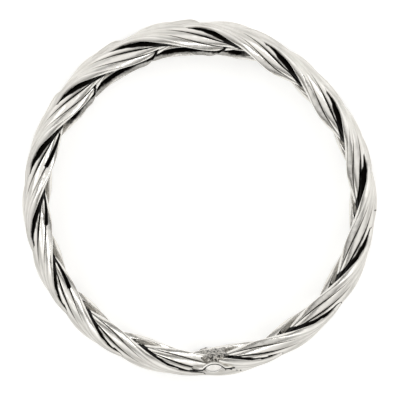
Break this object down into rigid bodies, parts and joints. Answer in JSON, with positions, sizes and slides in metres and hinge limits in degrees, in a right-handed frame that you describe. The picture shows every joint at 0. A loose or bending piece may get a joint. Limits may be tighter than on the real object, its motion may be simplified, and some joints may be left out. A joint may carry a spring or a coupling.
{
  "type": "woven ring",
  "caption": "Narrow open finger ring: a flat five-strand plait, three fine round wires to a strand, with a small soldered joint and an oval bead on one edge.",
  "frame": {"origin": "on the axis of the finger hole, at the bottom of the band's box as the ring lies on its side", "axes": "+Z along the finger hole, towards the edge that faces the camera; +Y towards the top of the picture; +X towards its right"},
  "size_m": [0.02, 0.0202, 0.0039],
  "materials": {
    "antiqued_silver": "polished silver, blackened in the recesses between the wires"
  },
  "bodies": {
    "root": {"braided_band": "antiqued_silver"}
  },
  "joints": []
}
